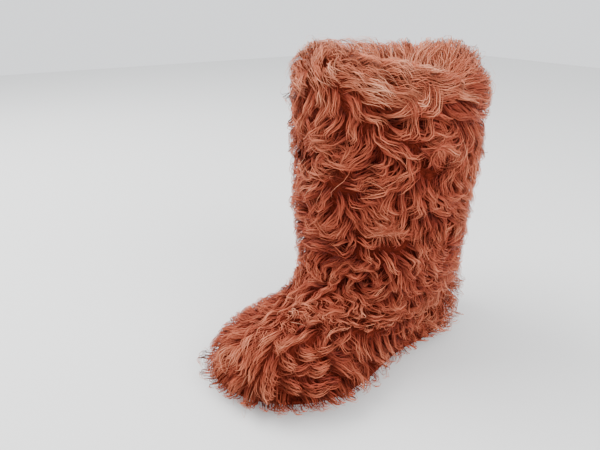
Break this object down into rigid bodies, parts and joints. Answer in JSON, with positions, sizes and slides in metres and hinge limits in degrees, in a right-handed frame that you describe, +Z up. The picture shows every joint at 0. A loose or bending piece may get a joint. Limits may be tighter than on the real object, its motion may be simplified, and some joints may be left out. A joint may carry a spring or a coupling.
{
  "type": "fur boot",
  "caption": "Mid-calf boot of long curly sheepskin on a flat rubber sole, for the left foot, open at the collar.",
  "frame": {"origin": "on the floor under the middle bar of the heel", "axes": "+Z up, -Y towards the toe, +X towards the outer side of the left foot"},
  "size_m": [0.2118, 0.348, 0.3551],
  "materials": {
    "rubber": "matt moulded dark brown rubber",
    "footbed": "short dense fleece",
    "hair": "long curly cinnamon-brown hair, softly glossy",
    "hide": "suede hide under the hair"
  },
  "bodies": {
    "root": {"outsole": "rubber", "insole": "footbed", "upper": "hide", "fur_foot": "hair", "fur_shaft": "hair", "fur_collar": "hair"}
  },
  "joints": []
}
